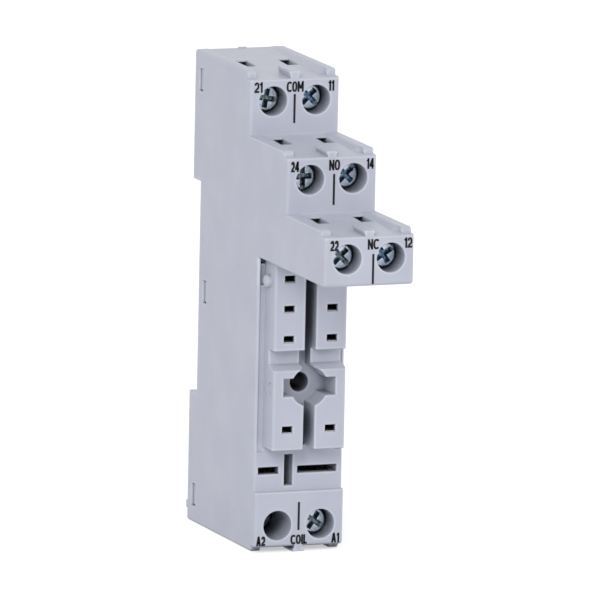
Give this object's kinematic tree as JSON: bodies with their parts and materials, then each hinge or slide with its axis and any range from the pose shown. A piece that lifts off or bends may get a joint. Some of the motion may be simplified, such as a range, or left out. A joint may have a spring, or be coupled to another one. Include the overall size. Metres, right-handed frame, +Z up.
{
  "type": "relay socket",
  "caption": "Slim rail-mounted relay socket: stepped terminal tiers with sunk clamp screws, contact blocks for a plug-in relay, and a sprung rail clip at the back.",
  "frame": {"origin": "middle of the 35 mm rail's seat", "axes": "+X to the right seen from the front, +Y from the front to the rail, +Z up along the socket, towards the three terminal tiers"},
  "size_m": [0.0154, 0.0612, 0.0788],
  "materials": {
    "housing_plastic": "satin",
    "cover_plastic": "satin",
    "clip_plastic": "satin",
    "screw_zinc": "zinc plated, passivated",
    "clamp_steel": "zinc plated",
    "strip_brass": "bare, stamped"
  },
  "bodies": {
    "socket": {"housing": "housing_plastic", "rear_cover": "cover_plastic", "clamp_box_21": "clamp_steel", "clamp_box_11": "clamp_steel", "clamp_box_24": "clamp_steel", "clamp_box_14": "clamp_steel", "clamp_box_22": "clamp_steel", "clamp_box_12": "clamp_steel", "clamp_box_a2": "clamp_steel", "clamp_box_a1": "clamp_steel", "contact_strip_21": "strip_brass", "contact_strip_11": "strip_brass", "contact_strip_24": "strip_brass", "contact_strip_14": "strip_brass", "contact_strip_22": "strip_brass", "contact_strip_12": "strip_brass", "contact_strip_a2": "strip_brass", "contact_strip_a1": "strip_brass", "module_contact_a2": "strip_brass", "module_contact_a1": "strip_brass"},
    "rail_clip": {"rail_clip": "clip_plastic"},
    "pressure_plate_21": {"pressure_plate_21": "clamp_steel"},
    "terminal_screw_21": {"terminal_screw_21": "screw_zinc"},
    "pressure_plate_11": {"pressure_plate_11": "clamp_steel"},
    "terminal_screw_11": {"terminal_screw_11": "screw_zinc"},
    "pressure_plate_24": {"pressure_plate_24": "clamp_steel"},
    "terminal_screw_24": {"terminal_screw_24": "screw_zinc"},
    "pressure_plate_14": {"pressure_plate_14": "clamp_steel"},
    "terminal_screw_14": {"terminal_screw_14": "screw_zinc"},
    "pressure_plate_22": {"pressure_plate_22": "clamp_steel"},
    "terminal_screw_22": {"terminal_screw_22": "screw_zinc"},
    "pressure_plate_12": {"pressure_plate_12": "clamp_steel"},
    "terminal_screw_12": {"terminal_screw_12": "screw_zinc"},
    "pressure_plate_a2": {"pressure_plate_a2": "clamp_steel"},
    "terminal_screw_a2": {"terminal_screw_a2": "screw_zinc"},
    "pressure_plate_a1": {"pressure_plate_a1": "clamp_steel"},
    "terminal_screw_a1": {"terminal_screw_a1": "screw_zinc"}
  },
  "joints": [
    {"name": "rail_clip_slide", "type": "slide", "parent": "socket", "child": "rail_clip", "axis": [0, 0, -1], "range_m": [0, 0.003], "stiffness_N_per_m": 400},
    {"name": "plate_slide_21", "type": "slide", "parent": "socket", "child": "pressure_plate_21", "axis": [0, 1, 0], "range_m": [-0.00015, 0.00525]},
    {"name": "screw_turn_21", "type": "hinge", "parent": "pressure_plate_21", "child": "terminal_screw_21", "pos_m": [-0.00375, -0.01875, 0.0344], "axis": [0, 1, 0], "range_deg": [-108.02, 3780.02]},
    {"name": "plate_slide_11", "type": "slide", "parent": "socket", "child": "pressure_plate_11", "axis": [0, 1, 0], "range_m": [-0.0002, 0.0052]},
    {"name": "screw_turn_11", "type": "hinge", "parent": "pressure_plate_11", "child": "terminal_screw_11", "pos_m": [0.00375, -0.0187, 0.0344], "axis": [0, 1, 0], "range_deg": [-144.02, 3744.02]},
    {"name": "plate_slide_24", "type": "slide", "parent": "socket", "child": "pressure_plate_24", "axis": [0, 1, 0], "range_m": [-0.0003, 0.0051]},
    {"name": "screw_turn_24", "type": "hinge", "parent": "pressure_plate_24", "child": "terminal_screw_24", "pos_m": [-0.00375, -0.0361, 0.02423], "axis": [0, 1, 0], "range_deg": [-216.02, 3672.02]},
    {"name": "plate_slide_14", "type": "slide", "parent": "socket", "child": "pressure_plate_14", "axis": [0, 1, 0], "range_m": [-0.0004, 0.005]},
    {"name": "screw_turn_14", "type": "hinge", "parent": "pressure_plate_14", "child": "terminal_screw_14", "pos_m": [0.00375, -0.036, 0.02423], "axis": [0, 1, 0], "range_deg": [-288.02, 3600.02]},
    {"name": "plate_slide_22", "type": "slide", "parent": "socket", "child": "pressure_plate_22", "axis": [0, 1, 0], "range_m": [0, 0.0054]},
    {"name": "screw_turn_22", "type": "hinge", "parent": "pressure_plate_22", "child": "terminal_screw_22", "pos_m": [-0.00375, -0.0539, 0.01406], "axis": [0, 1, 0], "range_deg": [-0.02, 3888.02]},
    {"name": "plate_slide_12", "type": "slide", "parent": "socket", "child": "pressure_plate_12", "axis": [0, 1, 0], "range_m": [-0.0002, 0.0052]},
    {"name": "screw_turn_12", "type": "hinge", "parent": "pressure_plate_12", "child": "terminal_screw_12", "pos_m": [0.00375, -0.0537, 0.01406], "axis": [0, 1, 0], "range_deg": [-144.02, 3744.02]},
    {"name": "plate_slide_a2", "type": "slide", "parent": "socket", "child": "pressure_plate_a2", "axis": [0, 1, 0], "range_m": [-0.0054, 0]},
    {"name": "screw_turn_a2", "type": "hinge", "parent": "pressure_plate_a2", "child": "terminal_screw_a2", "pos_m": [-0.00375, -0.0193, -0.03505], "axis": [0, 1, 0], "range_deg": [-3888.02, 0.02]},
    {"name": "plate_slide_a1", "type": "slide", "parent": "socket", "child": "pressure_plate_a1", "axis": [0, 1, 0], "range_m": [0, 0.0054]},
    {"name": "screw_turn_a1", "type": "hinge", "parent": "pressure_plate_a1", "child": "terminal_screw_a1", "pos_m": [0.00375, -0.0247, -0.03505], "axis": [0, 1, 0], "range_deg": [-0.02, 3888.02]}
  ],
  "couplings": [
    {"joint": "screw_turn_21", "follows": "plate_slide_21", "rad_per_m": 12566},
    {"joint": "screw_turn_11", "follows": "plate_slide_11", "rad_per_m": 12566},
    {"joint": "screw_turn_24", "follows": "plate_slide_24", "rad_per_m": 12566},
    {"joint": "screw_turn_14", "follows": "plate_slide_14", "rad_per_m": 12566},
    {"joint": "screw_turn_22", "follows": "plate_slide_22", "rad_per_m": 12566},
    {"joint": "screw_turn_12", "follows": "plate_slide_12", "rad_per_m": 12566},
    {"joint": "screw_turn_a2", "follows": "plate_slide_a2", "rad_per_m": 12566},
    {"joint": "screw_turn_a1", "follows": "plate_slide_a1", "rad_per_m": 12566}
  ]
}
